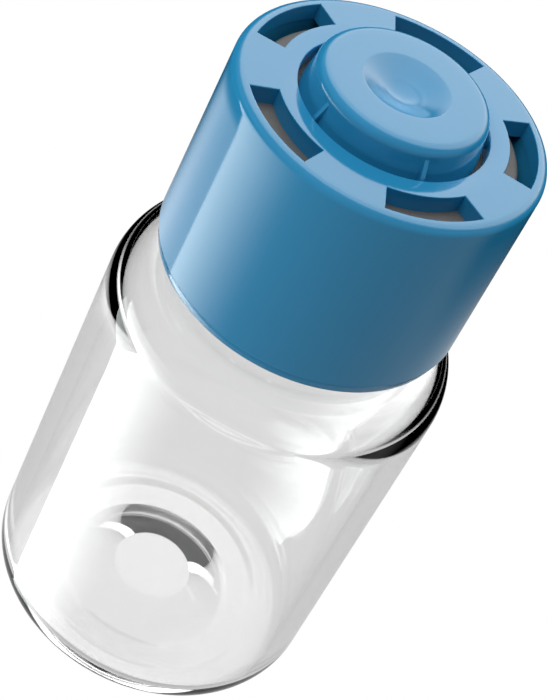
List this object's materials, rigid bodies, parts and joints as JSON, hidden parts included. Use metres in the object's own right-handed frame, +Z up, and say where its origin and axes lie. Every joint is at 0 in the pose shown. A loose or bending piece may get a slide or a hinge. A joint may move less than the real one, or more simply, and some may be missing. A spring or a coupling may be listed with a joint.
{
  "type": "injection vial with flip-off press-on cap",
  "caption": "Clear glass injection vial with a rubber stopper and a press-on plastic cap whose flip-off button is held by tear bridges over a slotted ring.",
  "frame": {"origin": "centre of the base's resting plane, on the vial's axis", "axes": "+Z up along the vial's axis from base to button; +X through the middle of the first slot of the cap"},
  "size_m": [0.03, 0.03, 0.0623],
  "materials": {
    "glass": "clear fire-polished tubing glass",
    "stopper_rubber": "dark grey moulded butyl rubber, satin",
    "cap_plastic": "steel-blue moulded plastic, glossy with fine grain",
    "button_plastic": "steel-blue moulded plastic, satin top"
  },
  "bodies": {
    "vial": {"vial_glass": "glass"},
    "cap": {"cap_ring": "cap_plastic", "stopper": "stopper_rubber", "snap_hook_1": "cap_plastic", "snap_hook_2": "cap_plastic", "snap_hook_3": "cap_plastic", "snap_hook_4": "cap_plastic", "snap_hook_5": "cap_plastic"},
    "button": {"flip_button": "button_plastic", "tear_bridge_1": "button_plastic", "tear_bridge_2": "button_plastic", "tear_bridge_3": "button_plastic", "tear_bridge_4": "button_plastic", "tear_bridge_5": "button_plastic"}
  },
  "joints": [
    {"name": "cap_lift", "type": "slide", "parent": "vial", "child": "cap", "axis": [0, 0, 1], "range_m": [0, 0.03], "deforming": ["snap_hook_1", "snap_hook_2", "snap_hook_3", "snap_hook_4", "snap_hook_5"]},
    {"name": "button_lift", "type": "slide", "parent": "cap", "child": "button", "axis": [0, 0, 1], "range_m": [0, 0.02]}
  ]
}
